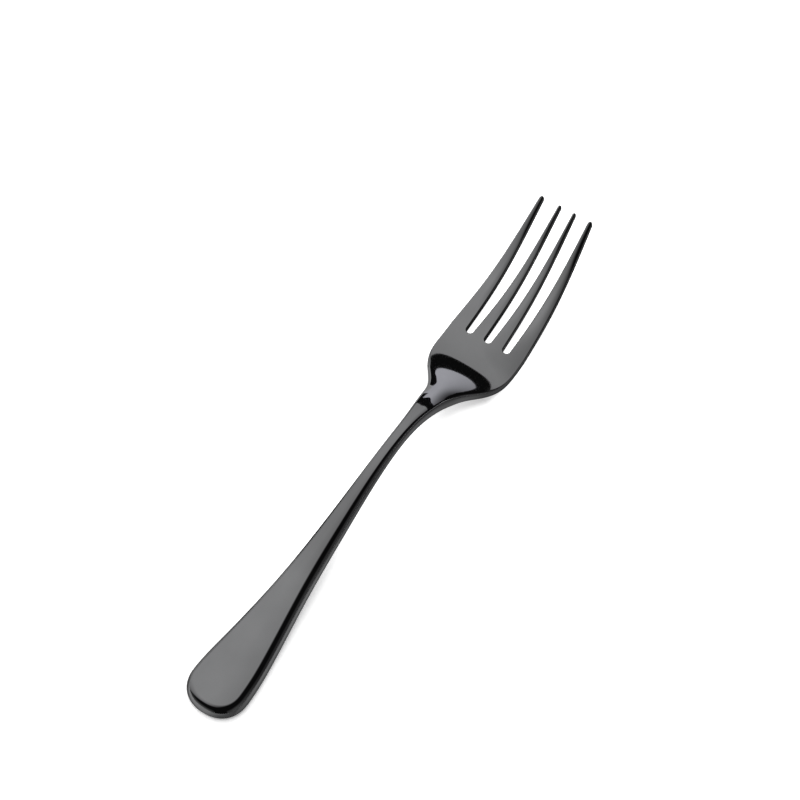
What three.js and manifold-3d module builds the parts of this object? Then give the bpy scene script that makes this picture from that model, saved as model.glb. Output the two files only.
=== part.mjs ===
// Dessert fork: one blank of black-finished steel, blanked, coined and pressed,
// modelled as its named zones: handle, neck, head and four tines.
// The X axis runs from the handle end to the tine tips, +Y is the fork's left, +Z is up. Millimetres.

import * as THREE from "three";
import { mergeVertices } from "three/addons/utils/BufferGeometryUtils.js";
import Module from "manifold-3d";

// Lengths of the zones, one after the other
const HANDLE_LENGTH = 92;
const NECK_LENGTH = 20;
const HEAD_LENGTH = 31;
const TINE_LENGTH = 42;

// Handle: widths seen from above, and where they are, from the handle end
const END_LENGTH = 9;
const GRIP_WIDTH = 18.1;
const TAPER_AT = 22;
const TAPER_WIDTH = 15.8;
const WAIST_AT = 43;
const WAIST_WIDTH = 10.3;
const SLIM_AT = 66;
const SLIM_WIDTH = 6.6;

// Neck: its widths where it leaves the handle, along its stem and where it meets the head
const NECK_WIDTH = 4.4;
const STEM_AT = 12;
const STEM_WIDTH = 5.2;
const NECK_END_WIDTH = 7.5;

// Head: the shoulders flare from the neck to the full width ahead of the slots
const FLARE_AT = 8;
const FLARE_WIDTH = 12.4;
const SHOULDER_AT = 14;
const SHOULDER_WIDTH = 20.6;
const CORNER_AT = 18.5;
const CORNER_WIDTH = 24.4;
const HEAD_WIDTH = 25.5;
const HEAD_WIDTH_AT = 24;
const ROOT_WIDTH = 25.5;

// Slots between the tines
const SLOT_WIDTH = 1.95;
const SLOT_PITCH = 6.4;

// Tine tips, and how far the outer edge of the outer tines bows out
const OUTER_TIP_WIDTH = 1.65;
const INNER_TIP_WIDTH = 1.3;
const OUTER_TIP_SPAN = 16.7;
const INNER_TIP_SPAN = 5.3;
const OUTER_BOW = 0.3;

// Height of the middle of the metal over the table, along the centre line
const PAD_LENGTH = 16;
const RISE_HEIGHT = 4.7;
const CLIMB_HEIGHT = 8.9;
const CREST_HEIGHT = 13.2;
const NECK_END_HEIGHT = 9.9;
const FLARE_HEIGHT = 6.2;
const SHOULDER_HEIGHT = 3.55;
const CORNER_HEIGHT = 2.05;
const HEEL_AT = 24.5;
const ROOT_HEIGHT = 1.35;
const MID_TINE_HEIGHT = 5.7;
const TIP_HEIGHT = 19.4;

// Thickness of the metal, square to its surface
const HANDLE_THICKNESS = 4.0;
const NECK_THICKNESS = 3.5;
const NECK_END_THICKNESS = 3.3;
const SHOULDER_THICKNESS = 2.5;
const CORNER_THICKNESS = 2.3;
const HEEL_THICKNESS = 2.05;
const HEAD_THICKNESS = 1.8;
const TIP_THICKNESS = 1.0;

// Rounding of the upper edges, measured across the fork, and the lower edges' share of it
const HANDLE_EDGE = 2.55;
const NECK_EDGE = 1.5;
const NECK_END_EDGE = 1.15;
const SHOULDER_EDGE = 0.95;
const CORNER_EDGE = 0.55;
const HEAD_EDGE = 0.42;
const TIP_EDGE = 0.55;
const UNDERSIDE_EDGE_SHARE = 0.6;

// Height of the widest line of the sides, as a share of the thickness
const EDGE_LINE_SHARE = 0.27;

// The neck runs out on the head as a crown: how much lower the edges lie than the middle
const STEM_CROWN = 0.24;
const NECK_END_CROWN = 0.65;
const RIDGE_AT = 5;
const RIDGE_CROWN = 1.24;
const FLARE_CROWN = 0.98;
const SHOULDER_CROWN = 0.42;
const CORNER_CROWN = 0.09;

// Fineness of the mesh
const RIB_SPACING = 2.4;
const END_RIBS = 10;
const EDGE_STEPS = 5;
const ACROSS_STEPS = 6;
const ROOT_SEGMENTS = 24;
const OVERRUN = 4;
const MERGE_DISTANCE = 1e-5;
const SLOPE_STEP = 0.05;

const STEEL = { color: 0x2b2c2d, roughness: 0.16, metalness: 1.0 };

// Planes between the zones
const NECK_PLANE = HANDLE_LENGTH;
const HEAD_PLANE = NECK_PLANE + NECK_LENGTH;
const ROOT_PLANE = HEAD_PLANE + HEAD_LENGTH;
const TIP_PLANE = ROOT_PLANE + TINE_LENGTH;
const CORNER_PLANE = HEAD_PLANE + CORNER_AT;
const HEEL_PLANE = HEAD_PLANE + HEEL_AT;

const wasm = await Module();
wasm.setup();

// A smooth curve through [position, value] pairs, level at its start, with a natural end
function smoothCurve(pairs) {
  const x = pairs.map((pair) => pair[0]);
  const y = pairs.map((pair) => pair[1]);
  const last = x.length - 1;
  const gap = (i) => x[i + 1] - x[i];
  const rise = (i) => (y[i + 1] - y[i]) / gap(i);
  const diagonal = [2 * gap(0)];
  const right = [6 * rise(0)];
  for (let i = 1; i < last; i += 1) {
    const factor = gap(i - 1) / diagonal[i - 1];
    diagonal.push(2 * (gap(i - 1) + gap(i)) - factor * gap(i - 1));
    right.push(6 * (rise(i) - rise(i - 1)) - factor * right[i - 1]);
  }
  const bend = new Array(last + 1).fill(0);
  for (let i = last - 1; i >= 0; i -= 1) {
    bend[i] = (right[i] - gap(i) * bend[i + 1]) / diagonal[i];
  }
  return (at) => {
    if (at <= x[0]) {
      return y[0];
    }
    let i = 0;
    while (i < last - 1 && at > x[i + 1]) {
      i += 1;
    }
    const before = x[i + 1] - at;
    const after = at - x[i];
    const curve = (bend[i] * before ** 3 + bend[i + 1] * after ** 3) / (6 * gap(i));
    const start = (y[i] / gap(i) - (bend[i] * gap(i)) / 6) * before;
    const end = (y[i + 1] / gap(i) - (bend[i + 1] * gap(i)) / 6) * after;
    return curve + start + end;
  };
}

// Half the width of the blank, ahead of its rounded end
const halfWidth = smoothCurve([
  [END_LENGTH, GRIP_WIDTH / 2],
  [TAPER_AT, TAPER_WIDTH / 2],
  [WAIST_AT, WAIST_WIDTH / 2],
  [SLIM_AT, SLIM_WIDTH / 2],
  [NECK_PLANE, NECK_WIDTH / 2],
  [NECK_PLANE + STEM_AT, STEM_WIDTH / 2],
  [HEAD_PLANE, NECK_END_WIDTH / 2],
  [HEAD_PLANE + FLARE_AT, FLARE_WIDTH / 2],
  [HEAD_PLANE + SHOULDER_AT, SHOULDER_WIDTH / 2],
  [CORNER_PLANE, CORNER_WIDTH / 2],
  [HEAD_PLANE + HEAD_WIDTH_AT, HEAD_WIDTH / 2],
  [ROOT_PLANE, ROOT_WIDTH / 2],
]);

// Height of the middle of the metal: level pad, arched handle, heel on the table, raised tines
const middleHeight = smoothCurve([
  [PAD_LENGTH, HANDLE_THICKNESS / 2],
  [WAIST_AT, RISE_HEIGHT],
  [SLIM_AT, CLIMB_HEIGHT],
  [NECK_PLANE, CREST_HEIGHT],
  [HEAD_PLANE, NECK_END_HEIGHT],
  [HEAD_PLANE + FLARE_AT, FLARE_HEIGHT],
  [HEAD_PLANE + SHOULDER_AT, SHOULDER_HEIGHT],
  [CORNER_PLANE, CORNER_HEIGHT],
  [HEEL_PLANE, HEEL_THICKNESS / 2],
  [ROOT_PLANE, ROOT_HEIGHT],
  [ROOT_PLANE + TINE_LENGTH / 2, MID_TINE_HEIGHT],
  [TIP_PLANE, TIP_HEIGHT],
]);

const crown = smoothCurve([
  [NECK_PLANE, 0],
  [NECK_PLANE + STEM_AT, STEM_CROWN],
  [HEAD_PLANE, NECK_END_CROWN],
  [HEAD_PLANE + RIDGE_AT, RIDGE_CROWN],
  [HEAD_PLANE + FLARE_AT, FLARE_CROWN],
  [HEAD_PLANE + SHOULDER_AT, SHOULDER_CROWN],
  [CORNER_PLANE, CORNER_CROWN],
  [HEEL_PLANE, 0],
]);

const thickness = smoothCurve([
  [END_LENGTH, HANDLE_THICKNESS],
  [NECK_PLANE, NECK_THICKNESS],
  [HEAD_PLANE, NECK_END_THICKNESS],
  [HEAD_PLANE + SHOULDER_AT, SHOULDER_THICKNESS],
  [CORNER_PLANE, CORNER_THICKNESS],
  [HEEL_PLANE, HEEL_THICKNESS],
  [ROOT_PLANE, HEAD_THICKNESS],
  [TIP_PLANE, TIP_THICKNESS],
]);

const edgeRounding = smoothCurve([
  [WAIST_AT, HANDLE_EDGE],
  [NECK_PLANE, NECK_EDGE],
  [HEAD_PLANE, NECK_END_EDGE],
  [HEAD_PLANE + SHOULDER_AT, SHOULDER_EDGE],
  [CORNER_PLANE, CORNER_EDGE],
  [ROOT_PLANE, HEAD_EDGE],
  [TIP_PLANE, TIP_EDGE],
]);

function slope(curve, at) {
  return (curve(at + SLOPE_STEP) - curve(at - SLOPE_STEP)) / (2 * SLOPE_STEP);
}

// Height of the middle of the metal away from the centre line: lower beside the crown
function sheetHeight(x, y) {
  const across = y / halfWidth(x);
  return middleHeight(x) - crown(Math.min(x, HEEL_PLANE)) * across ** 2;
}

// Half the thickness, measured straight up
function halfThickness(x) {
  return (thickness(x) / 2) * Math.hypot(1, slope(middleHeight, x));
}

// One rounded edge as insets from the outline and heights over the middle of the metal,
// from the widest line of the side to the face above it (sign 1) or below it (sign -1)
function edgeProfile(rounding, half, sign) {
  const line = (2 * EDGE_LINE_SHARE - 1) * half;
  const points = [];
  for (let step = 0; step <= EDGE_STEPS; step += 1) {
    const angle = (Math.PI / 2) * (step / EDGE_STEPS);
    const inset = rounding * (1 - Math.cos(angle));
    points.push([inset, line + (sign * half - line) * Math.sin(angle)]);
  }
  return points;
}

// A closed mesh through rings of equal count, capped at its end, and at its start unless that is a seam
function loft(rings, startsInSeam) {
  const count = rings[0].length;
  const positions = rings.flat(2);
  const index = [];
  for (let ring = 0; ring + 1 < rings.length; ring += 1) {
    for (let i = 0; i < count; i += 1) {
      const a = ring * count + i;
      const b = ring * count + ((i + 1) % count);
      index.push(a, b, b + count, a, b + count, a + count);
    }
  }
  const cap = (ring, flipped) => {
    const contour = rings[ring].map(([, y, z]) => new THREE.Vector2(y, z));
    for (const corners of THREE.ShapeUtils.triangulateShape(contour, [])) {
      const [a, b, c] = corners.map((i) => ring * count + i);
      index.push(a, flipped ? c : b, flipped ? b : c);
    }
  };
  cap(rings.length - 1, false);
  if (!startsInSeam) {
    cap(0, true);
  }
  const geometry = new THREE.BufferGeometry();
  geometry.setAttribute("position", new THREE.Float32BufferAttribute(positions, 3));
  geometry.setIndex(index);
  return geometry;
}

// A manifold-3d solid from a closed mesh
function toSolid(geometry) {
  const bare = geometry.clone();
  bare.deleteAttribute("normal");
  bare.deleteAttribute("uv");
  const merged = mergeVertices(bare, MERGE_DISTANCE);
  const triangles = [];
  const index = merged.index.array;
  for (let i = 0; i < index.length; i += 3) {
    const [a, b, c] = [index[i], index[i + 1], index[i + 2]];
    if (a !== b && b !== c && c !== a) {
      triangles.push(a, b, c);
    }
  }
  return new wasm.Manifold(new wasm.Mesh({
    numProp: 3,
    vertProperties: new Float32Array(merged.attributes.position.array),
    triVerts: new Uint32Array(triangles),
  }));
}

function toGeometry(solid) {
  const mesh = solid.getMesh();
  const geometry = new THREE.BufferGeometry();
  geometry.setAttribute("position", new THREE.BufferAttribute(mesh.vertProperties, 3));
  geometry.setIndex(new THREE.BufferAttribute(mesh.triVerts, 1));
  const faceted = geometry.toNonIndexed();
  faceted.computeVertexNormals();
  return faceted;
}

// Stations round the handle end and along the side, each with its outward direction
function outlineStations() {
  const stations = [];
  for (let i = 0; i < END_RIBS; i += 1) {
    const angle = (Math.PI / 2) * (i / END_RIBS);
    const x = END_LENGTH * (1 - Math.cos(angle));
    const y = (GRIP_WIDTH / 2) * Math.sin(angle);
    const out = new THREE.Vector2(-Math.cos(angle) / END_LENGTH, Math.sin(angle) / (GRIP_WIDTH / 2));
    stations.push({ x, y, out: out.normalize() });
  }
  const length = ROOT_PLANE + OVERRUN - END_LENGTH;
  const ribs = Math.ceil(length / RIB_SPACING);
  for (let i = 0; i <= ribs; i += 1) {
    const x = END_LENGTH + (length * i) / ribs;
    const out = new THREE.Vector2(-slope(halfWidth, x), 1);
    stations.push({ x, y: halfWidth(x), out: out.normalize() });
  }
  return stations;
}

// One closed rib of the body: up the left edge, across the top, down the right and back below
function rib({ x, y, out }) {
  const half = (rounding, sign) => {
    const side = edgeProfile(rounding, 1, sign).map(([inset, lift]) => {
      const px = x - out.x * inset;
      const py = y - out.y * inset;
      return [px, py, sheetHeight(px, py) + lift * halfThickness(px)];
    });
    const [px, py] = side[EDGE_STEPS];
    const across = [];
    for (let i = 1; i < ACROSS_STEPS; i += 1) {
      const ay = py * (1 - (2 * i) / ACROSS_STEPS);
      across.push([px, ay, sheetHeight(px, ay) + sign * halfThickness(px)]);
    }
    const mirrored = side.map(([mx, my, mz]) => [mx, -my, mz]).reverse();
    return [...side, ...across, ...mirrored];
  };
  const upper = half(edgeRounding(x), 1);
  const lower = half(edgeRounding(x) * UNDERSIDE_EDGE_SHARE, -1).reverse();
  return [...upper, ...lower.slice(1, -1)];
}

// Body: handle, neck and head in one sheet, running past the slot roots before it is parted
const body = toSolid(loft(outlineStations().map(rib), true));

// Slot root: a round cut whose rim has the same rounded edges as the tines
function slotRoot(y) {
  const half = halfThickness(ROOT_PLANE);
  const radius = SLOT_WIDTH / 2;
  const above = edgeProfile(HEAD_EDGE, half, 1);
  const below = edgeProfile(HEAD_EDGE * UNDERSIDE_EDGE_SHARE, half, -1).slice(1).reverse();
  const rim = [...below, ...above].map(([inset, lift]) => new THREE.Vector2(radius + inset, lift));
  const profile = [
    new THREE.Vector2(0, -2 * half),
    new THREE.Vector2(radius + HEAD_EDGE, -2 * half),
    ...rim,
    new THREE.Vector2(radius + HEAD_EDGE, 2 * half),
    new THREE.Vector2(0, 2 * half),
  ];
  const cutter = new THREE.LatheGeometry(profile, ROOT_SEGMENTS);
  cutter.rotateX(Math.PI / 2);
  cutter.translate(ROOT_PLANE, y, sheetHeight(ROOT_PLANE, y));
  return toSolid(cutter);
}

const alongX = [1, 0, 0];
const [pastNeck, handleSolid] = body.splitByPlane(alongX, NECK_PLANE);
const [pastHead, neckSolid] = pastNeck.splitByPlane(alongX, HEAD_PLANE);
const plainHead = pastHead.splitByPlane(alongX, ROOT_PLANE)[1];
const headSolid = [-SLOT_PITCH, 0, SLOT_PITCH].reduce(
  (head, y) => head.subtract(slotRoot(y)),
  plainHead,
);

// One tine between its two edges, from the slot roots to its rounded tip
function tine({ rootInner, rootOuter, tipInner, tipOuter, bow, side }) {
  const tipHalf = (tipOuter - tipInner) / 2;
  const straight = TINE_LENGTH - tipHalf;
  const ribs = Math.ceil(straight / RIB_SPACING);
  const stations = [];
  for (let i = 0; i <= ribs; i += 1) {
    stations.push({ at: (straight * i) / ribs, narrow: 1 });
  }
  for (let i = 1; i < EDGE_STEPS; i += 1) {
    const angle = (Math.PI / 2) * (i / EDGE_STEPS);
    stations.push({ at: straight + tipHalf * Math.sin(angle), narrow: Math.cos(angle) });
  }
  const rings = stations.map(({ at, narrow }) => {
    const x = ROOT_PLANE + at;
    const share = at / TINE_LENGTH;
    const inner = THREE.MathUtils.lerp(rootInner, tipInner, share);
    const outer = THREE.MathUtils.lerp(rootOuter, tipOuter, share) + bow * 4 * share * (1 - share);
    const middle = (side * (inner + outer)) / 2;
    const reach = ((outer - inner) / 2) * narrow;
    const rounding = Math.min(edgeRounding(x), reach);
    const half = halfThickness(x) * narrow;
    const place = ([inset, lift]) => [x, middle + reach - inset, sheetHeight(x, 0) + lift];
    const top = edgeProfile(rounding, half, 1).map(place);
    const low = edgeProfile(rounding * UNDERSIDE_EDGE_SHARE, half, -1).map(place);
    const mirror = (points) => points.map(([px, py, pz]) => [px, 2 * middle - py, pz]).reverse();
    return [...top, ...mirror(top), ...mirror(low).reverse().slice(1), ...[...low].reverse().slice(0, -1)];
  });
  return loft(rings, false);
}

const outerTine = {
  rootInner: SLOT_PITCH + SLOT_WIDTH / 2,
  rootOuter: ROOT_WIDTH / 2,
  tipInner: (OUTER_TIP_SPAN - OUTER_TIP_WIDTH) / 2,
  tipOuter: (OUTER_TIP_SPAN + OUTER_TIP_WIDTH) / 2,
  bow: OUTER_BOW,
};
const innerTine = {
  rootInner: SLOT_WIDTH / 2,
  rootOuter: SLOT_PITCH - SLOT_WIDTH / 2,
  tipInner: (INNER_TIP_SPAN - INNER_TIP_WIDTH) / 2,
  tipOuter: (INNER_TIP_SPAN + INNER_TIP_WIDTH) / 2,
  bow: 0,
};

const fork = new THREE.Group();

function addPiece(name, geometry) {
  const piece = new THREE.Mesh(geometry, new THREE.MeshStandardMaterial(STEEL));
  piece.name = name;
  fork.add(piece);
}

addPiece("handle", toGeometry(handleSolid));
addPiece("neck", toGeometry(neckSolid));
addPiece("head", toGeometry(headSolid));
addPiece("tine_outer_left", toGeometry(toSolid(tine({ ...outerTine, side: 1 }))));
addPiece("tine_inner_left", toGeometry(toSolid(tine({ ...innerTine, side: 1 }))));
addPiece("tine_inner_right", toGeometry(toSolid(tine({ ...innerTine, side: -1 }))));
addPiece("tine_outer_right", toGeometry(toSolid(tine({ ...outerTine, side: -1 }))));

// The origin is under the middle of the fork, on the table
const box = new THREE.Box3().setFromObject(fork);
const centre = box.getCenter(new THREE.Vector3());
fork.position.set(-centre.x, -centre.y, -box.min.z);

export default fork;
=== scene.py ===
# Dessert fork: one blank of stainless steel, blanked out, coined, pressed, polished and coated black.
# The sections follow its making: handle, neck, head, tines, blank, pressing and black coat, then the studio.
# The fork and the camera are laid out in millimetres from the handle end, and the mesh and studio in metres.
import math

import bpy
import numpy as np
from mathutils import Matrix, Vector
from mathutils.geometry import delaunay_2d_cdt


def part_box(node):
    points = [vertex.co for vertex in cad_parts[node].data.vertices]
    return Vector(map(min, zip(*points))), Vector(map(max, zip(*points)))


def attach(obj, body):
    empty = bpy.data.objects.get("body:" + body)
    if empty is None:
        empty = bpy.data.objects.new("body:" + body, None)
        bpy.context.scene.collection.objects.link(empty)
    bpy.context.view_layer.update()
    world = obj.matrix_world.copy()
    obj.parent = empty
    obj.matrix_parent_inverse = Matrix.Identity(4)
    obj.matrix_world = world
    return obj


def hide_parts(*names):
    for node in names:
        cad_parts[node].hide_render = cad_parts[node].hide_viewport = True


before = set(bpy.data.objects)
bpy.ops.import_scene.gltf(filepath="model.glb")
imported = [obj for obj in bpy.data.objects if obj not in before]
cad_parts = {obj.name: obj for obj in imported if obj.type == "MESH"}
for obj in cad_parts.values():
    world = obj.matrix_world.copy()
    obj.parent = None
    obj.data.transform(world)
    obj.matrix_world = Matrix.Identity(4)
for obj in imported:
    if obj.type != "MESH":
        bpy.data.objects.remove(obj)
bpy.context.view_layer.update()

# Handle: the flat grip of the one-piece fork, rolled from the same strip of steel as the rest.
# It tapers from a full round end to the stem, and its underside lies on the table near the end.
# The end is a touch squarer than an ellipse and leans a little to the fork's right.
MM = 0.001
fork_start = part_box("handle")[0].x / MM
neck_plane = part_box("neck")[0].x / MM - fork_start
END_START = 0.25
END_LENGTH = 9.0
END_SQUARENESS = 2.2
GRIP_WIDTH = 18.3
END_LEAN = -0.25
END_LEAN_LENGTH = 14.0
PAD_LENGTH = 16.0
TAPER_AT = 22.0
WAIST_AT = 43.0
SLIM_AT = 66.0
HANDLE_THICKNESS = 4.0
width_stations = [(END_LENGTH, GRIP_WIDTH), (TAPER_AT, 15.95), (WAIST_AT, 10.4), (SLIM_AT, 6.75)]
height_stations = [(PAD_LENGTH, HANDLE_THICKNESS / 2), (WAIST_AT, 4.7), (SLIM_AT, 8.9)]
thickness_stations = [(END_LENGTH, HANDLE_THICKNESS)]
edge_stations = [(WAIST_AT, 2.55)]


def smooth_curve(stations):
    """A cubic curve through (place, size) stations, level at its start and straight at its end."""
    x, y = np.array(stations, float).T
    gap = np.diff(x)
    rise = np.diff(y) / gap
    count = len(x)
    matrix = np.zeros((count, count))
    right = np.zeros(count)
    matrix[0, :2] = 2 * gap[0], gap[0]
    right[0] = 6 * rise[0]
    for i in range(1, count - 1):
        matrix[i, i - 1:i + 2] = gap[i - 1], 2 * (gap[i - 1] + gap[i]), gap[i]
        right[i] = 6 * (rise[i] - rise[i - 1])
    matrix[-1, -1] = 1
    bend = np.linalg.solve(matrix, right)

    def value(at):
        at = np.maximum(np.asarray(at, float), x[0])
        i = np.clip(np.searchsorted(x, at) - 1, 0, count - 2)
        before = x[i + 1] - at
        after = at - x[i]
        curve = (bend[i] * before ** 3 + bend[i + 1] * after ** 3) / (6 * gap[i])
        start = (y[i] / gap[i] - bend[i] * gap[i] / 6) * before
        end = (y[i + 1] / gap[i] - bend[i + 1] * gap[i] / 6) * after
        return curve + start + end

    return value


# Neck: the slim stem at the crest of the arch, of the same steel and the thickest part for its width.
# Coining rounds its upper edges so far that only a narrow flat is left on top.
head_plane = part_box("head")[0].x / MM - fork_start
stem_plane = neck_plane + 12.0
width_stations += [(neck_plane, 4.55), (stem_plane, 5.35), (head_plane, 7.6)]
height_stations += [(neck_plane, 13.2), (head_plane, 9.9)]
thickness_stations += [(neck_plane, 3.5), (head_plane, 3.3)]
edge_stations += [(neck_plane, 1.5), (head_plane, 1.15)]
crown_stations = [(neck_plane, 0), (stem_plane, 0.24), (head_plane, 0.65)]

# Head: the flared sheet ahead of the neck, rolled thin and dished at the heel, where it rests on the table.
# The neck runs out on it as a low crown, and the press cuts three slots with round roots between the tines.
root_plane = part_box("tine_outer_left")[0].x / MM - fork_start
crown_plane = head_plane + 5.0
flare_plane = head_plane + 8.0
shoulder_plane = head_plane + 14.0
corner_plane = head_plane + 18.5
widest_plane = head_plane + 24.0
heel_plane = head_plane + 24.5
HEEL_THICKNESS = 2.05
ROOT_WIDTH = 25.5
SLOT_WIDTH = 1.95
SLOT_PITCH = 6.4
width_stations += [
    (flare_plane, 12.4),
    (shoulder_plane, 20.6),
    (corner_plane, 24.4),
    (widest_plane, ROOT_WIDTH),
    (root_plane, ROOT_WIDTH),
]
height_stations += [
    (flare_plane, 6.2),
    (shoulder_plane, 3.55),
    (corner_plane, 2.05),
    (heel_plane, HEEL_THICKNESS / 2),
    (root_plane, 1.35),
]
thickness_stations += [
    (shoulder_plane, 2.5),
    (corner_plane, 2.3),
    (heel_plane, HEEL_THICKNESS),
    (root_plane, 1.8),
]
edge_stations += [(shoulder_plane, 0.95), (corner_plane, 0.55), (root_plane, 0.42)]
crown_stations += [
    (crown_plane, 1.24),
    (flare_plane, 0.98),
    (shoulder_plane, 0.42),
    (corner_plane, 0.09),
    (heel_plane, 0),
]

# Tines: four prongs of the head's thin steel, two broad outside and two slim inside, with small round tips.
# They taper and curve up, polishing softens their edges, and the press leaves them leaning a little.
# Each lean is how far left the left and the right tine of a pair stand at their tips.
TINE_LENGTH = 42.3
tip_plane = root_plane + TINE_LENGTH
OUTER_TIP_WIDTH = 1.65
OUTER_TIP_SPAN = 16.7
OUTER_BOW = 0.3
INNER_TIP_WIDTH = 1.3
INNER_TIP_SPAN = 5.3
OUTER_LEAN = (0.22, 0.12)
INNER_LEAN = (-0.26, 0.0)
TIP_STEPS = 9
ROOT_STEPS = 14
OUTLINE_STEP = 0.6
height_stations += [(root_plane + TINE_LENGTH / 2, 5.7), (tip_plane, 19.4)]
thickness_stations += [(tip_plane, 1.0)]
edge_stations += [(tip_plane, 0.55)]
# Each pair below holds the distances of a tine's inner and outer edge from the centre line.
outer_root = (SLOT_PITCH + SLOT_WIDTH / 2, ROOT_WIDTH / 2)
outer_tip = ((OUTER_TIP_SPAN - OUTER_TIP_WIDTH) / 2, (OUTER_TIP_SPAN + OUTER_TIP_WIDTH) / 2)
inner_root = (SLOT_WIDTH / 2, SLOT_PITCH - SLOT_WIDTH / 2)
inner_tip = ((INNER_TIP_SPAN - INNER_TIP_WIDTH) / 2, (INNER_TIP_SPAN + INNER_TIP_WIDTH) / 2)


def tine_outline(root, tip, bow):
    """Out along the outer edge, round the tip and back along the inner edge."""
    tip_radius = (tip[1] - tip[0]) / 2
    straight = TINE_LENGTH - tip_radius
    along = np.linspace(0, straight, round(straight / OUTLINE_STEP))
    turn = np.linspace(0, math.pi / 2, TIP_STEPS)[1:]
    at = np.concatenate([along, straight + tip_radius * np.sin(turn)])
    narrow = np.concatenate([np.ones_like(along), np.cos(turn)])
    share = at / TINE_LENGTH
    inner = root[0] + (tip[0] - root[0]) * share
    outer = root[1] + (tip[1] - root[1]) * share + bow * 4 * share * (1 - share)
    middle = (inner + outer) / 2
    reach = (outer - inner) / 2 * narrow
    out = np.stack([root_plane + at, middle + reach], -1)
    back = np.stack([root_plane + at, middle - reach], -1)[-2::-1]
    return np.concatenate([out, back])


def slot_root(y, last_angle):
    """Round the root of a slot, from its left side."""
    angle = np.linspace(math.pi / 2, last_angle, ROOT_STEPS)[1:]
    x = root_plane - SLOT_WIDTH / 2 * np.cos(angle)
    return np.stack([x, y + SLOT_WIDTH / 2 * np.sin(angle)], -1)


# Blank: the outline of the whole fork, cut from the strip in one stroke of the press.
# The left half runs from the handle end to the middle slot, and the right half mirrors it.
END_STEPS = 46
half_width = smooth_curve([(place, width / 2) for place, width in width_stations])
angle = np.linspace(0, math.pi / 2, END_STEPS)
across = np.sin(angle) ** (2 / END_SQUARENESS)
ahead = 1 - np.abs(np.cos(angle)) ** (2 / END_SQUARENESS)
round_end = np.stack([END_START + (END_LENGTH - END_START) * ahead, GRIP_WIDTH / 2 * across], -1)
side_count = round((root_plane - END_LENGTH) / OUTLINE_STEP)
side_x = np.linspace(END_LENGTH, root_plane, side_count)[1:-1]
side = np.stack([side_x, half_width(side_x)], -1)
outer_tine = tine_outline(outer_root, outer_tip, OUTER_BOW)
inner_tine = tine_outline(inner_root, inner_tip, 0)
outer_slot = slot_root(SLOT_PITCH, -math.pi / 2)[:-1]
middle_slot = slot_root(0, 0)
left_half = np.concatenate([round_end, side, outer_tine, outer_slot, inner_tine, middle_slot])
outline = np.concatenate([left_half, left_half[-2:0:-1] * [1, -1]])
run = np.roll(outline, -1, 0) - np.roll(outline, 1, 0)
run /= np.linalg.norm(run, axis=1)[:, None]
inward = np.stack([run[:, 1], -run[:, 0]], -1)

# Pressing: the flat blank takes its arch, heel and upswept tines in one die.
# Its edges are coined round, with their widest line low on the side, and the polishing wheel leaves
# the top face a little domed. The mesh carries the normals of this surface.
EDGE_RINGS = 10
EDGE_LINE_SHARE = 0.27
UNDERSIDE_EDGE_SHARE = 0.6
DOME_SHARE = 0.022
SLIM_DOME_SHARE = 0.05
TIP_DOME_SHARE = 0.12
DOME_CHANGE = 16.0
INNER_GRID = 0.9
SLOPE_STEP = 0.05
MERGE_DISTANCE = 1e-6
KEEP_INSIDE = 1
edge_line = 2 * EDGE_LINE_SHARE - 1
middle_height = smooth_curve(height_stations)
thickness = smooth_curve(thickness_stations)
edge_rounding = smooth_curve(edge_stations)
crown = smooth_curve(crown_stations)
dome_share = smooth_curve([
    (END_LENGTH, DOME_SHARE),
    (WAIST_AT, DOME_SHARE),
    (SLIM_AT, SLIM_DOME_SHARE),
    (neck_plane, DOME_SHARE),
    (head_plane, DOME_SHARE),
    (tip_plane, DOME_SHARE),
])


def sheet_height(x, y):
    """The middle of the metal, lower beside the crown than on it."""
    return middle_height(x) - crown(np.minimum(x, heel_plane)) * (y / half_width(x)) ** 2


def half_thickness(x):
    """Half the metal's thickness, measured straight up."""
    slope = (middle_height(x + SLOPE_STEP) - middle_height(x - SLOPE_STEP)) / (2 * SLOPE_STEP)
    return thickness(x) / 2 * np.hypot(1, slope)


def dome(x, y):
    """How far the top stands proud of flat: over the whole width, then over each tine by itself."""
    wide = half_width(np.minimum(x, root_plane))
    into_end = np.maximum(END_LENGTH - x, 0) / END_LENGTH
    whole = dome_share(x) * wide * np.maximum(1 - (y / wide) ** 2 - into_end ** 2, 0)
    share = np.clip((x - root_plane) / TINE_LENGTH, 0, 1)
    outer = np.abs(y) > SLOT_PITCH
    inner_edge = np.where(outer, outer_root[0], inner_root[0])
    inner_edge = inner_edge + (np.where(outer, outer_tip[0], inner_tip[0]) - inner_edge) * share
    outer_edge = np.where(outer, outer_root[1], inner_root[1])
    outer_edge = outer_edge + (np.where(outer, outer_tip[1], inner_tip[1]) - outer_edge) * share
    reach = (outer_edge - inner_edge) / 2
    across = (np.abs(y) - (outer_edge + inner_edge) / 2) / reach
    tine_share = DOME_SHARE + (TIP_DOME_SHARE - DOME_SHARE) * share
    single = tine_share * reach * np.maximum(1 - across ** 2, 0)
    blend = np.clip((x - root_plane + SLOT_WIDTH / 2) / DOME_CHANGE, 0, 1)
    blend = blend ** 2 * (3 - 2 * blend)
    return whole * (1 - blend) + single * blend


def rise(x, y, face):
    """Height from the widest line of the side to the top face (1) or to the underside (-1)."""
    height = (face - edge_line) * half_thickness(x)
    return height + dome(x, y) if face > 0 else height


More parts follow.
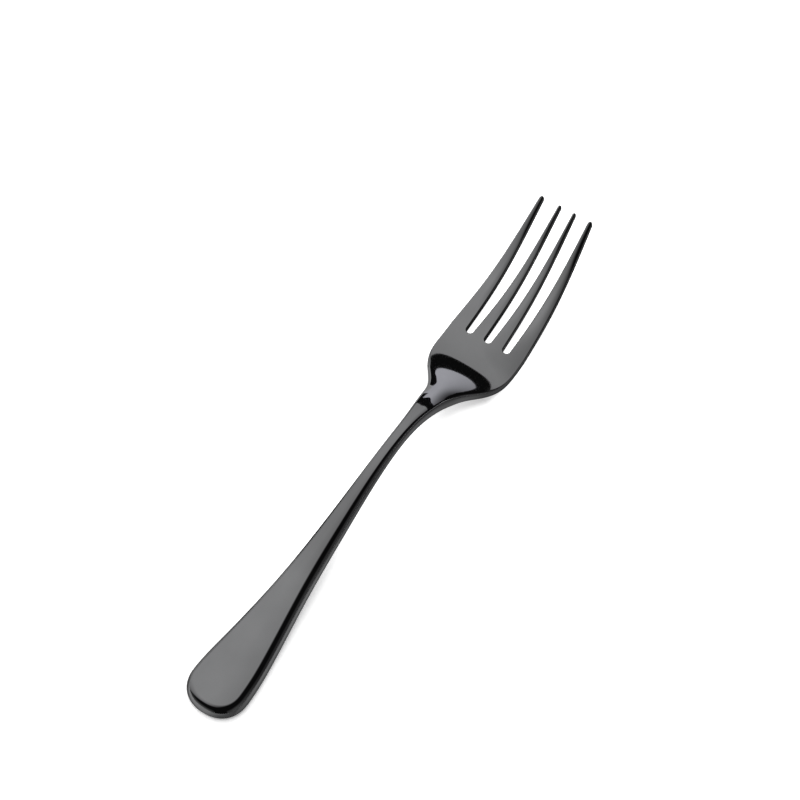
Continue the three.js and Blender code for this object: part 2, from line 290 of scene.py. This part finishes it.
def pressed(plan, face, share):
    """Points at a share of the way from the side's widest line to a face, and upright normals there."""

    def surface(x, y):
        return sheet_height(x, y) + edge_line * half_thickness(x) + share * rise(x, y, face)

    x, y = plan.T
    slope_x = (surface(x + SLOPE_STEP, y) - surface(x - SLOPE_STEP, y)) / (2 * SLOPE_STEP)
    slope_y = (surface(x, y + SLOPE_STEP) - surface(x, y - SLOPE_STEP)) / (2 * SLOPE_STEP)
    upright = np.stack([-slope_x, -slope_y, np.ones_like(x)], -1)
    return np.stack([x, y, surface(x, y)], -1), upright


def inside(points, loop):
    """Which plan points lie within a closed loop, by counting the sides that each one faces."""
    x, y = points[:, :1], points[:, 1:]
    x0, y0 = loop.T
    x1, y1 = np.roll(loop, -1, 0).T
    crosses = (y0 > y) != (y1 > y)
    reach = x0 + (y - y0) * (x1 - x0) / np.where(y1 == y0, 1, y1 - y0)
    return (crosses & (x < reach)).sum(1) % 2 == 1


def fill(loop):
    """Triangles over the flat within a loop, with grid points so that it can follow the bend."""
    low, high = loop.min(0), loop.max(0)
    grid_x, grid_y = np.meshgrid(
        np.arange(low[0], high[0], INNER_GRID), np.arange(low[1], high[1], INNER_GRID)
    )
    grid_x[1::2] += INNER_GRID / 2
    grid = np.stack([grid_x.ravel(), grid_y.ravel()], -1)
    grid = grid[inside(grid, loop)]
    gap = np.array([np.hypot(*(loop - point).T).min() for point in grid])
    grid = grid[gap > INNER_GRID / 2]
    points = np.concatenate([loop, grid])
    count = len(loop)
    rim = [(i, (i + 1) % count) for i in range(count)]
    corners = [Vector(point) for point in points]
    triangles, origins = delaunay_2d_cdt(corners, rim, [], KEEP_INSIDE, MERGE_DISTANCE)[2:4]
    source = [origin[0] for origin in origins]
    return grid, [[source[corner] for corner in triangle] for triangle in triangles]


count = len(outline)
outward = np.concatenate([-inward, np.zeros((count, 1))], 1)
all_points = [pressed(outline, 1, 0)[0]]
all_normals = [outward]
faces = []
following = (np.arange(count) + 1) % count
for face, edge_share in [(1, 1.0), (-1, UNDERSIDE_EDGE_SHARE)]:
    ring_before = np.arange(count)
    rounding = edge_rounding(outline[:, 0]) * edge_share
    for ring in range(1, EDGE_RINGS + 1):
        turn = math.pi / 2 * ring / EDGE_RINGS
        plan = outline + inward * (rounding * (1 - math.cos(turn)))[:, None]
        points, upright = pressed(plan, face, math.sin(turn))
        side_part = outward * (math.cos(turn) / rounding)[:, None]
        face_part = upright * (math.sin(turn) / rise(plan[:, 0], plan[:, 1], face))[:, None]
        ring_now = np.arange(count) + sum(map(len, all_points))
        all_points.append(points)
        all_normals.append(side_part + face_part)
        for i in range(count):
            quad = [ring_before[i], ring_now[i], ring_now[following[i]], ring_before[following[i]]]
            faces.append(quad[::face])
        ring_before = ring_now
    grid, triangles = fill(plan)
    points, upright = pressed(grid, face, 1)
    number = np.concatenate([ring_before, np.arange(len(grid)) + sum(map(len, all_points))])
    all_points.append(points)
    all_normals.append(face * upright)
    faces += [[number[corner] for corner in triangle][::face] for triangle in triangles]
fork_points = np.concatenate(all_points)
tine_share = np.clip((fork_points[:, 0] - root_plane) / TINE_LENGTH, 0, 1)
is_outer = np.abs(fork_points[:, 1]) > SLOT_PITCH
is_right = (fork_points[:, 1] < 0).astype(int)
lean = np.where(is_outer, np.array(OUTER_LEAN)[is_right], np.array(INNER_LEAN)[is_right])
end_share = np.clip(1 - fork_points[:, 0] / END_LEAN_LENGTH, 0, 1) ** 2
fork_points[:, 1] += lean * tine_share + END_LEAN * end_share
fork_points = (fork_points + [fork_start, 0, 0]) * MM
fork_normals = np.concatenate(all_normals)
fork_normals /= np.linalg.norm(fork_normals, axis=1)[:, None]
fork_mesh = bpy.data.meshes.new("fork_body")
fork_mesh.from_pydata(fork_points.tolist(), [], [[int(corner) for corner in face] for face in faces])
fork_mesh.polygons.foreach_set("use_smooth", [True] * len(fork_mesh.polygons))
fork_mesh.normals_split_custom_set_from_vertices(fork_normals.tolist())
fork_body = bpy.data.objects.new("fork_body", fork_mesh)
bpy.context.collection.objects.link(fork_body)
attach(fork_body, "root")
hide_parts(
    "handle", "neck", "head",
    "tine_outer_left", "tine_inner_left", "tine_inner_right", "tine_outer_right",
)

# Black coat: a thin dark film laid on mirror-polished steel in a vacuum, so it still shines as metal.
# Close up it has faint drawn-out polishing marks and small clouds where the film is a touch lighter.
# It is a little darker on the slim stem: each pair is a place along the fork and a share of the tone.
COAT_DARK = (0.172, 0.173, 0.176, 1)
COAT_LIGHT = (0.205, 0.206, 0.209, 1)
COAT_RIM = (0.4, 0.4, 0.4, 1)
MARKS_STRETCH = (60, 900, 900)
MARKS_SCALE = 4.0
MARKS_DETAIL = 5.0
MARKS_STRENGTH = 0.02
MARKS_DEPTH = 0.00005
CLOUDS_SCALE = 110.0
CLOUDS_DETAIL = 3.0
SHINIEST = 0.03
DULLEST = 0.07
coat_shares = [(46.0, 1.0), (56.0, 0.85), (66.0, 0.8), (77.0, 0.8), (85.0, 0.9), (94.0, 1.0)]


def ramp_along(nodes, links, pairs):
    """A grey that changes along the fork, through pairs of a place on it and a level."""
    place = nodes.new("ShaderNodeTexCoord")
    parted = nodes.new("ShaderNodeSeparateXYZ")
    links.new(place.outputs["Object"], parted.inputs["Vector"])
    along = nodes.new("ShaderNodeMapRange")
    along.inputs["From Min"].default_value = fork_start * MM
    along.inputs["From Max"].default_value = (fork_start + tip_plane) * MM
    links.new(parted.outputs["X"], along.inputs["Value"])
    ramp = nodes.new("ShaderNodeValToRGB")
    links.new(along.outputs["Result"], ramp.inputs["Fac"])
    stops = ramp.color_ramp.elements
    while len(stops) < len(pairs):
        stops.new(1.0)
    for stop, (at, level) in zip(stops, pairs):
        stop.position = at / tip_plane
        stop.color = (level, level, level, 1)
    return ramp.outputs["Color"]


coat = bpy.data.materials.new("black_coat")
coat.use_nodes = True
nodes, links = coat.node_tree.nodes, coat.node_tree.links
shader = nodes["Principled BSDF"]
shader.inputs["Metallic"].default_value = 1.0
shader.inputs["Specular Tint"].default_value = COAT_RIM
place = nodes.new("ShaderNodeTexCoord")
drawn_out = nodes.new("ShaderNodeMapping")
drawn_out.inputs["Scale"].default_value = MARKS_STRETCH
links.new(place.outputs["Object"], drawn_out.inputs["Vector"])
marks = nodes.new("ShaderNodeTexNoise")
marks.inputs["Scale"].default_value = MARKS_SCALE
marks.inputs["Detail"].default_value = MARKS_DETAIL
links.new(drawn_out.outputs["Vector"], marks.inputs["Vector"])
clouds = nodes.new("ShaderNodeTexNoise")
clouds.inputs["Scale"].default_value = CLOUDS_SCALE
clouds.inputs["Detail"].default_value = CLOUDS_DETAIL
links.new(place.outputs["Object"], clouds.inputs["Vector"])
tone = nodes.new("ShaderNodeMix")
tone.data_type = "RGBA"
tone.inputs["A"].default_value = COAT_DARK
tone.inputs["B"].default_value = COAT_LIGHT
links.new(clouds.outputs["Fac"], tone.inputs["Factor"])
darker_along_stem = nodes.new("ShaderNodeMix")
darker_along_stem.data_type = "RGBA"
darker_along_stem.blend_type = "MULTIPLY"
darker_along_stem.inputs["Factor"].default_value = 1.0
links.new(tone.outputs["Result"], darker_along_stem.inputs["A"])
links.new(ramp_along(nodes, links, coat_shares), darker_along_stem.inputs["B"])
links.new(darker_along_stem.outputs["Result"], shader.inputs["Base Color"])
sheen = nodes.new("ShaderNodeMapRange")
sheen.inputs["To Min"].default_value = SHINIEST
sheen.inputs["To Max"].default_value = DULLEST
links.new(marks.outputs["Fac"], sheen.inputs["Value"])
links.new(sheen.outputs["Result"], shader.inputs["Roughness"])
grain = nodes.new("ShaderNodeBump")
grain.inputs["Strength"].default_value = MARKS_STRENGTH
grain.inputs["Distance"].default_value = MARKS_DEPTH
links.new(marks.outputs["Fac"], grain.inputs["Height"])
links.new(grain.outputs["Normal"], shader.inputs["Normal"])
fork_mesh.materials.append(coat)

# Floor: a wide sheet of white paper, which only the camera and reflections see glow. The rest of its
# light is the shadow lamp's, so the fork's own shadow shows on it. Its glow along the fork is painted light:
# it is low under the handle's end and the heel, where the contact shadow shows, and high where the metal
# stands clear, which paints out its shadow there. Each pair is a place along the fork and the glow there.
FLOOR_SIZE = 60.0
FLOOR_GAP = 0.00002
glow_and_shadow_fill = [
    (30.0, 0.38), (46.0, 0.5), (55.0, 0.62), (64.0, 0.72), (76.0, 0.84),
    (100.0, 0.92), (108.0, 0.88), (113.0, 0.83), (118.0, 0.74), (122.0, 0.62), (126.0, 0.53),
    (132.0, 0.95),
]
MIRRORED_GLOW = 0.4
PAPER = (0.8, 0.8, 0.8, 1)
paper = bpy.data.materials.new("white_paper")
paper.use_nodes = True
nodes, links = paper.node_tree.nodes, paper.node_tree.links
nodes.clear()
matte = nodes.new("ShaderNodeBsdfDiffuse")
matte.inputs["Color"].default_value = PAPER
glow = nodes.new("ShaderNodeEmission")
rays = nodes.new("ShaderNodeLightPath")
seen = nodes.new("ShaderNodeMath")
seen.operation = "MULTIPLY"
links.new(rays.outputs["Is Camera Ray"], seen.inputs[0])
links.new(ramp_along(nodes, links, glow_and_shadow_fill), seen.inputs[1])
mirrored = nodes.new("ShaderNodeMath")
mirrored.operation = "MAXIMUM"
links.new(rays.outputs["Is Glossy Ray"], mirrored.inputs[0])
links.new(rays.outputs["Is Transmission Ray"], mirrored.inputs[1])
level = nodes.new("ShaderNodeMath")
level.operation = "MULTIPLY_ADD"
level.inputs[1].default_value = MIRRORED_GLOW
links.new(mirrored.outputs["Value"], level.inputs[0])
links.new(seen.outputs["Value"], level.inputs[2])
links.new(level.outputs["Value"], glow.inputs["Strength"])
both = nodes.new("ShaderNodeAddShader")
links.new(matte.outputs["BSDF"], both.inputs[0])
links.new(glow.outputs["Emission"], both.inputs[1])
surface = nodes.new("ShaderNodeOutputMaterial")
links.new(both.outputs["Shader"], surface.inputs["Surface"])
half_floor = FLOOR_SIZE / 2
floor_mesh = bpy.data.meshes.new("floor")
corner_sides = [(-1, -1), (1, -1), (1, 1), (-1, 1)]
floor_corners = [(half_floor * x, half_floor * y, -FLOOR_GAP) for x, y in corner_sides]
floor_mesh.from_pydata(floor_corners, [], [(0, 1, 2, 3)])
floor_mesh.materials.append(paper)
floor = bpy.data.objects.new("floor", floor_mesh)
bpy.context.collection.objects.link(floor)

# Shadow lamp: a very wide soft lamp high on the left, so that the shadow is only deep at the contact.
# Reflections don't see it, and it gives the floor what its glow leaves out.
SHADOW_LAMP_STRENGTH = 4.0
SHADOW_LAMP_SPREAD = math.radians(80)
SHADOW_LAMP_WAY = (0.25, 0.36, 1.0)
shadow_lamp_data = bpy.data.lights.new("shadow_lamp", "SUN")
shadow_lamp_data.energy = SHADOW_LAMP_STRENGTH
shadow_lamp_data.angle = SHADOW_LAMP_SPREAD
shadow_lamp = bpy.data.objects.new("shadow_lamp", shadow_lamp_data)
shadow_lamp.rotation_euler = Vector(SHADOW_LAMP_WAY).to_track_quat("Z", "Y").to_euler()
shadow_lamp.visible_glossy = False
bpy.context.collection.objects.link(shadow_lamp)

# Softbox: a long lamp leaning over the fork from its left, which fades out at its start and its top.
# Its far end is cut back near its foot. Each row is its climb up the front, its far end and its level.
SOFTBOX_FOOT = (0.563, 0.521)
SOFTBOX_LEAN = (-0.679, 0.734)
SOFTBOX_FULL_AT = 0.42
SOFTBOX_FULL_SHARE = 0.8
SOFTBOX_FULL_LEVEL = 1.03
SOFTBOX_END_LEVEL = 0.93
softbox_start = [
    (-0.62, 0.0), (-0.57, 0.2), (-0.5, 0.55), (-0.38, 0.76), (-0.2, 0.94), (0.0, 1.1), (0.1, 1.1),
]
softbox_rows = [
    (-0.64, 0.29, 1.0),
    (-0.36, 0.48, 1.0),
    (0.0, 1.02, 1.0),
    (0.2, 1.11, 1.0),
    (0.44, 1.36, 1.0),
    (0.52, 1.42, 0.83),
    (0.62, 1.48, 0.58),
    (0.74, 1.55, 0.38),
    (0.86, 1.61, 0.16),
    (0.96, 1.67, 0.0),
]


def glow_board(name, rows):
    """A board that shines: rows of (corner, colour) pairs, with the colour blending between them."""
    width = len(rows[0])
    corners = [corner for row in rows for corner, colour in row]
    quads = []
    for row in range(len(rows) - 1):
        for i in range(row * width, row * width + width - 1):
            quads.append((i, i + 1, i + width + 1, i + width))
    mesh = bpy.data.meshes.new(name)
    mesh.from_pydata(corners, [], quads)
    glow = mesh.color_attributes.new("glow", "FLOAT_COLOR", "POINT")
    for value, colour in zip(glow.data, (colour for row in rows for corner, colour in row)):
        value.color = (*colour, 1)
    mesh.materials.append(shining)
    piece = bpy.data.objects.new(name, mesh)
    piece.visible_camera = False
    piece.visible_diffuse = False
    piece.visible_shadow = False
    bpy.context.collection.objects.link(piece)


def grey(level):
    """An even grey of one level."""
    return (level, level, level)


shining = bpy.data.materials.new("shining_board")
shining.use_nodes = True
nodes, links = shining.node_tree.nodes, shining.node_tree.links
nodes.clear()
shine = nodes.new("ShaderNodeEmission")
glow_colour = nodes.new("ShaderNodeAttribute")
glow_colour.attribute_name = "glow"
links.new(glow_colour.outputs["Color"], shine.inputs["Color"])
surface = nodes.new("ShaderNodeOutputMaterial")
links.new(shine.outputs["Emission"], surface.inputs["Surface"])
softbox = []
for climb, end, row_level in softbox_rows:
    full_at = min(SOFTBOX_FULL_AT, SOFTBOX_FULL_SHARE * end)
    columns = softbox_start + [(full_at, SOFTBOX_FULL_LEVEL), (end, SOFTBOX_END_LEVEL)]
    y = SOFTBOX_FOOT[0] + SOFTBOX_LEAN[0] * climb
    z = SOFTBOX_FOOT[1] + SOFTBOX_LEAN[1] * climb
    softbox.append([((x, y, z), grey(level * row_level)) for x, level in columns])
glow_board("softbox", softbox)

# Far screen: a bluish white screen some way ahead of the heel, over a strip that reaches further left.
# Each column is its angle left of the fork's axis, the angle of its top above the table, and its level.
HEEL_AT = Vector((0.032, 0, 0.004))
BOARD_DISTANCE = 1.2
SCREEN_TINT = (0.97, 0.97, 1.04)
SCREEN_FOOT = 6.3
STRIP_FOOT = 0.0
STRIP_TOP = 6.4
screen_columns = [
    (28.4, 15.4, 1.7),
    (27.2, 16.4, 1.7),
    (25.4, 17.0, 1.7),
    (20.4, 17.6, 1.7),
    (17.4, 19.0, 1.6),
    (12.9, 22.5, 1.35),
    (9.3, 25.0, 1.1),
    (0.0, 26.0, 0.5),
    (-8.0, 22.0, 0.15),
]
strip_columns = [
    (36.0, 0.3, 1.6),
    (33.0, 2.2, 1.7),
    (30.8, 4.5, 1.7),
    (29.0, STRIP_TOP, 1.7),
    (20.4, STRIP_TOP, 1.7),
    (17.4, STRIP_TOP, 1.6),
    (12.9, STRIP_TOP, 1.35),
    (9.3, STRIP_TOP, 1.1),
    (0.0, STRIP_TOP, 0.5),
    (-8.0, STRIP_TOP, 0.15),
]
screens = [("far_screen", SCREEN_FOOT, screen_columns), ("low_strip", STRIP_FOOT, strip_columns)]


def seen_from(spot, turn, height):
    """A place seen from a spot at an angle left of the fork's axis and an angle above the table."""
    turn, height = math.radians(turn), math.radians(height)
    along_table = math.cos(height)
    way = Vector((along_table * math.cos(turn), along_table * math.sin(turn), math.sin(height)))
    return spot + BOARD_DISTANCE * way


for name, foot, columns in screens:
    feet = []
    tops = []
    for turn, top, level in columns:
        colour = tuple(level * tint for tint in SCREEN_TINT)
        feet.append((seen_from(HEEL_AT, turn, foot), colour))
        tops.append((seen_from(HEEL_AT, turn, top), colour))
    glow_board(name, [feet, tops])

# Right wall: the dim side of the room on the fork's right, darker towards its top and its ends.
# The wall's columns hold a place along it and a level, and its rows a height and a share of that.
RIGHT_WALL = -1.5
wall_columns = [(-1.5, 0.12), (-0.4, 0.26), (0.2, 0.2), (0.8, 0.06), (1.5, 0.02)]
wall_rows = [(0.0, 1.0), (0.55, 0.9), (0.9, 0.4), (1.3, 0.05)]
right_wall = []
for z, share in wall_rows:
    right_wall.append([((x, RIGHT_WALL, z), grey(level * share)) for x, level in wall_columns])
glow_board("right_wall", right_wall)

# End wall: the pale low wall behind the handle's end, fading out upwards, for the end's rim to mirror.
# Its columns hold an angle left of the fork's axis and a level, and its rows a height angle and a share.
END_AT = Vector((-0.0915, 0, 0.0025))
end_wall_columns = [(112.0, 0.1), (128.0, 0.25), (150.0, 0.5), (170.0, 0.5), (190.0, 0.1)]
end_wall_rows = [(-0.2, 1.0), (6.0, 0.7), (14.0, 0.35), (24.0, 0.08), (32.0, 0.0)]
end_wall = []
for height, share in end_wall_rows:
    row = []
    for turn, level in end_wall_columns:
        row.append((seen_from(END_AT, turn, height), grey(level * share)))
    end_wall.append(row)
glow_board("end_wall", end_wall)

# Table cards: shining grey cards on the table round the fork, which only reflections see, and its steep
# sides mirror their tones.
# Their pale tones are the lit white table, and their grey and dark tones are painted shade: the fork's
# shadow beside and under it, and the table's shade on its right. Each row is its distance from the fork's
# axis, and its levels at the card's places along the fork.
CARD_HEIGHT = 0.0001
right_places = (-0.0885, -0.07, -0.03, 0.0, 0.02, 0.032, 0.15)
right_rows = [
    (-0.006, (0.4, 0.5, 0.6, 0.95, 0.85, 0.2, 0.2)),
    (-0.011, (0.35, 0.6, 0.7, 0.75, 0.65, 0.3, 0.3)),
    (-0.016, (0.35, 0.74, 0.78, 0.48, 0.55, 0.26, 0.3)),
    (-0.026, (0.3, 0.56, 0.6, 0.25, 0.33, 0.22, 0.24)),
    (-0.04, (0.25, 0.36, 0.34, 0.17, 0.25, 0.14, 0.17)),
    (-0.1, (0.2, 0.27, 0.25, 0.15, 0.25, 0.08, 0.17)),
    (-0.4, (0.15, 0.25, 0.25, 0.15, 0.2, 0.08, 0.17)),
]
left_places = (-0.0885, -0.081, -0.069, -0.06, -0.05, -0.042, -0.031, -0.023, -0.014, -0.006, 0.003)
left_rows = [
    (0.006, (0.38, 0.8, 0.72, 0.38, 0.75, 0.95, 0.3, 0.02, 0.02, 0.6, 1.0)),
    (0.03, (0.5, 0.8, 0.75, 0.4, 0.75, 0.95, 0.3, 0.02, 0.02, 0.6, 1.0)),
    (0.05, (0.7, 0.9, 0.9, 0.9, 0.95, 1.0, 0.7, 0.5, 0.4, 0.8, 1.0)),
    (0.08, (1.0, 1.0, 1.0, 1.0, 1.0, 1.0, 1.0, 0.8, 0.8, 1.0, 1.0)),
    (0.1, (1.0, 1.0, 1.0, 1.0, 1.0, 1.0, 1.0, 1.0, 1.0, 1.0, 1.0)),
]
end_places = (-0.3, -0.12, -0.1, -0.0945, -0.0885)
end_rows = [
    (-0.4, (0.15, 0.15, 0.15, 0.15, 0.15)),
    (-0.03, (0.15, 0.2, 0.25, 0.2, 0.2)),
    (-0.006, (0.4, 0.55, 0.55, 0.3, 0.25)),
    (0.0, (0.6, 0.75, 0.8, 0.8, 0.8)),
    (0.012, (0.8, 0.9, 1.0, 1.1, 0.3)),
    (0.06, (0.8, 0.9, 1.0, 1.0, 0.6)),
]
tine_places = (0.033, 0.046, 0.15)
tine_rows = [
    (-0.0059, (0.2, 0.07, 0.07)),
    (0.014, (0.2, 0.07, 0.07)),
]
# Each card carries painted shade on the table, which only reflections see.
cards = [
    ("right_shade_card", right_places, right_rows),
    ("tine_shade_card", tine_places, tine_rows),
    ("left_shade_card", left_places, left_rows),
    ("end_shade_card", end_places, end_rows),
]
for name, places, rows in cards:
    card = []
    for y, levels in rows:
        card.append([((x, y, CARD_HEIGHT), grey(level)) for x, level in zip(places, levels)])
    glow_board(name, card)

# Room: the rest of the studio, painted dark and left almost unlit.
# Its reflection leaves the deep black bands on the metal.
ROOM_COLOUR = (1, 1, 1, 1)
ROOM_LEVEL = 0.015
world = bpy.data.worlds.new("dim_room")
world.use_nodes = True
world.node_tree.nodes["Background"].inputs["Color"].default_value = ROOM_COLOUR
world.node_tree.nodes["Background"].inputs["Strength"].default_value = ROOM_LEVEL
bpy.context.scene.world = world

# Camera: a long lens on a stand behind the handle end and to its right, looking down at the fork.
# Its place follows from the fork's turn in the picture, its height angle and its scale.
VIEW_TURN = math.radians(56.07)
VIEW_HEIGHT = math.radians(58.65)
VIEW_DISTANCE = 700.0
PIXELS_PER_MM = 3.4284
FRAME_PIXELS = 800
LOOK_AT = Vector((112.415, 10.835, 0))
SENSOR_WIDTH = 36.0
NEAREST_SEEN = 0.01
image_right = Vector((math.cos(VIEW_TURN), -math.sin(VIEW_TURN), 0))
away = Vector((math.sin(VIEW_TURN), math.cos(VIEW_TURN), 0))
towards_camera = -math.cos(VIEW_HEIGHT) * away + math.sin(VIEW_HEIGHT) * Vector((0, 0, 1))
image_up = math.sin(VIEW_HEIGHT) * away + math.cos(VIEW_HEIGHT) * Vector((0, 0, 1))
camera_data = bpy.data.cameras.new("camera")
camera_data.sensor_width = SENSOR_WIDTH
camera_data.lens = PIXELS_PER_MM * VIEW_DISTANCE * SENSOR_WIDTH / FRAME_PIXELS
camera_data.clip_start = NEAREST_SEEN
camera = bpy.data.objects.new("camera", camera_data)
turned = Matrix((image_right, image_up, towards_camera)).transposed()
camera.matrix_world = turned.to_4x4()
camera.location = (LOOK_AT + VIEW_DISTANCE * towards_camera + Vector((fork_start, 0, 0))) * MM
bpy.context.collection.objects.link(camera)
bpy.context.scene.camera = camera
bpy.context.scene.view_settings.view_transform = "Standard"
